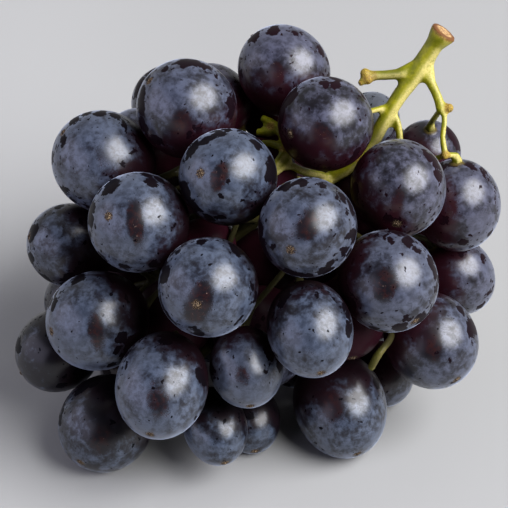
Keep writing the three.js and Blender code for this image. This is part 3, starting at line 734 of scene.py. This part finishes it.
def small_twigs(stem_places):
    """Short tubes through the places of each bit of twig, from the nearest place on the stem."""
    curve = bpy.data.curves.new("small_twigs", "CURVE")
    curve.dimensions = "3D"
    curve.bevel_depth = MM
    curve.bevel_resolution = TWIG_PROFILE
    curve.use_fill_caps = True
    for stations in SMALL_TWIGS + FORK_WEBS:
        places = [from_view(*station[:3]) for station in stations]
        radii = [station[3] for station in stations]
        away = np.linalg.norm(stem_places - np.array(places[0]), axis=1)
        places.insert(0, Vector(stem_places[away.argmin()]))
        radii.insert(0, radii[0])
        spline = curve.splines.new("NURBS")
        spline.points.add(len(places) - 1)
        spline.use_endpoint_u = True
        spline.order_u = 3
        for point, place, radius in zip(spline.points, places, radii):
            point.co = (*place, 1)
            point.radius = radius
    holder = bpy.data.objects.new("small_twigs", curve)
    mesh = bpy.data.meshes.new_from_object(holder)
    bpy.data.objects.remove(holder)
    return mesh


def joined_stem():
    """The stem's solid and the small twigs under one skin, with rounded forks."""
    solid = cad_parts["stem"].data
    whole = bmesh.new()
    whole.from_mesh(solid)
    whole.from_mesh(small_twigs(places_of(solid)))
    joined = bpy.data.meshes.new("rough_stem")
    whole.to_mesh(joined)
    whole.free()
    rough = bpy.data.objects.new("rough_stem", joined)
    bpy.context.scene.collection.objects.link(rough)
    for growth in (FILLET, -FILLET + THICKER):
        remesh = rough.modifiers.new("voxels", "REMESH")
        remesh.mode = "VOXEL"
        remesh.voxel_size = VOXEL
        grow = rough.modifiers.new("grow", "DISPLACE")
        grow.mid_level = 0
        grow.strength = growth
    fewer = rough.modifiers.new("fewer", "DECIMATE")
    fewer.ratio = FACES_KEPT
    evaluated = rough.evaluated_get(bpy.context.evaluated_depsgraph_get())
    mesh = bpy.data.meshes.new_from_object(evaluated)
    mesh.name = "stem"
    bpy.data.objects.remove(rough)
    mesh.materials.clear()
    return mesh


def smoothed(mesh):
    """Taubin smoothing of a mesh's places: it evens out the surface and keeps thin twigs from shrinking."""
    edges = np.empty(len(mesh.edges) * 2, int)
    mesh.edges.foreach_get("vertices", edges)
    one, other = edges.reshape(-1, 2).T
    places = places_of(mesh)
    count = np.bincount(edges, minlength=len(places))[:, None]
    for weight in SMOOTHING * SMOOTHING_ROUNDS:
        total = np.zeros_like(places)
        np.add.at(total, one, places[other])
        np.add.at(total, other, places[one])
        places = places + weight * (total / count - places)
    return places


def distance_to(places, px, py, near):
    """How far places are from the place of a pixel."""
    return np.linalg.norm(places - np.array(from_view(px, py, near)), axis=1)


def places_at_cut(places):
    """Whether places are near the cut end, how far below it, and their way from the stalk's axis."""
    middle = np.array(from_view(*CUT_MIDDLE))
    outward = middle - np.array(from_view(*CUT_FROM))
    outward /= np.linalg.norm(outward)
    below = -((places - middle) @ outward)
    sideways = places - middle + np.outer(below, outward)
    return distance_to(places, *CUT_MIDDLE) < CUT_REACH, below, sideways


def brown_share(places, by_cut, below, on_face, sideways):
    """Brown at the knobs and scars, round the cut end, and in a ring and the pith on its face."""
    brown = np.zeros(len(places))
    for px, py, near, reach in BROWN_MARKS:
        edge = (share * reach * MM for share in BROWN_EDGE)
        brown = np.maximum(brown, smooth_fall(distance_to(places, px, py, near), *edge))
    brown = np.maximum(brown, by_cut * smooth_fall(below, *BROWN_DEPTH))
    from_middle = np.linalg.norm(sideways, axis=1) / MM
    ring = smooth_rise(from_middle, *RING_REACH) + PITH_SHARE * smooth_fall(from_middle, *PITH_REACH)
    return brown + on_face * (ring - brown)


def depth_share(places, berries):
    """How much painted shade darkens the stem, from how much of the view round it the berries fill."""
    filled = np.zeros(len(places))
    for berry in berries:
        far = np.maximum(np.linalg.norm(places - berry["centre"], axis=1), berry["wide"])
        filled += (1 - np.sqrt(1 - (berry["wide"] / far) ** 2)) / 2
    lit = TOP_GAP_SHARE * smooth_fall(distance_to(places, *TOP_GAP), *TOP_GAP_EDGE)
    depth = smooth_rise(filled, *CROWDED) * (1 - lit)
    for px, py, near, reach, most in PAINTED_SHADE_PLACES:
        edge = (share * reach * MM for share in PAINTED_SHADE_EDGE)
        depth = np.maximum(depth, most * smooth_fall(distance_to(places, px, py, near), *edge))
    return depth


def painted_highlight_share(mesh):
    """How much the stem faces the way of its painted highlight."""
    normals = np.empty(len(mesh.vertices) * 3)
    mesh.vertex_normals.foreach_get("vector", normals)
    to_sun = np.array(in_view_axes(*PAINTED_HIGHLIGHT_SIDE).normalized())
    return smooth_rise(normals.reshape(-1, 3) @ to_sun, *PAINTED_HIGHLIGHT_EDGE)


def make_stem(berries):
    mesh = joined_stem()
    places = smoothed(mesh)
    by_cut, below, sideways = places_at_cut(places)
    places += sideways * (FLARE * by_cut * smooth_fall(below, 0, FLARE_LENGTH))[:, None]
    mesh.vertices.foreach_set("co", places.ravel())
    mesh.update()
    mesh.shade_smooth()

    on_face = by_cut * smooth_fall(below, *FACE_DEPTH)
    give_attribute(mesh, "brown", brown_share(places, by_cut, below, on_face, sideways))
    give_attribute(mesh, "depth", depth_share(places, berries))
    give_attribute(mesh, "cut", on_face)
    give_attribute(mesh, "painted_highlight", painted_highlight_share(mesh))
    add_piece("stem_fine", mesh, stem_material(), "stem")


# Floor, light and camera


def make_floor():
    bpy.ops.mesh.primitive_circle_add(
        vertices=FLOOR_CORNERS, radius=FLOOR_RADIUS, fill_type="NGON", location=(0, 0, 0))
    floor = bpy.context.object
    floor.name = "floor"
    floor.data.materials.append(floor_material())


def add_light(name, shape, towards, distance, size, radiance, tint):
    """A soft light of that radiance, facing the bunch from a direction given in the camera's axes."""
    light = bpy.data.lights.new(name, "AREA")
    light.shape = shape
    light.size, light.size_y = size
    area = size[0] * size[1] * (math.pi / 4 if shape == "ELLIPSE" else 1)
    light.energy = radiance * math.pi * area
    light.color = tint
    holder = bpy.data.objects.new(name, light)
    bpy.context.scene.collection.objects.link(holder)
    way = in_view_axes(*towards).normalized()
    holder.location = AIM + way * distance
    holder.rotation_euler = way.to_track_quat("Z", "Y").to_euler()
    holder.visible_camera = False


def make_room():
    """Pale all round at the back, darker round the camera."""
    world = bpy.data.worlds.new("room")
    world.use_nodes = True
    tree = world.node_tree
    tree.nodes.clear()
    way = add(tree, "SeparateXYZ", {0: add(tree, "TexCoord").outputs["Generated"]}).outputs["Y"]
    front, back = ROOM_CHANGE
    light = add(tree, "MapRange", {0: way, 1: front, 2: back, 3: FRONT_LIGHT, 4: BACK_LIGHT},
                interpolation_type="SMOOTHSTEP").outputs[0]
    background = add(tree, "Background", {"Color": ROOM_COLOR, "Strength": light})
    add(tree, "OutputWorld", {"Surface": background.outputs[0]})
    bpy.context.scene.world = world


def make_camera():
    data = bpy.data.cameras.new("camera")
    data.angle = 2 * math.atan(IMAGE / 2 * PIXEL / DISTANCE)
    camera = bpy.data.objects.new("camera", data)
    bpy.context.scene.collection.objects.link(camera)
    camera.location = AIM + NEAR * DISTANCE
    camera.rotation_euler = Matrix((RIGHT, UP, NEAR)).transposed().to_euler()
    bpy.context.scene.camera = camera


make_camera()
make_room()
add_light("key", **KEY)
add_light("panel", **PANEL)
make_floor()
make_stem(make_berries())
bpy.context.scene.view_settings.view_transform = "Standard"
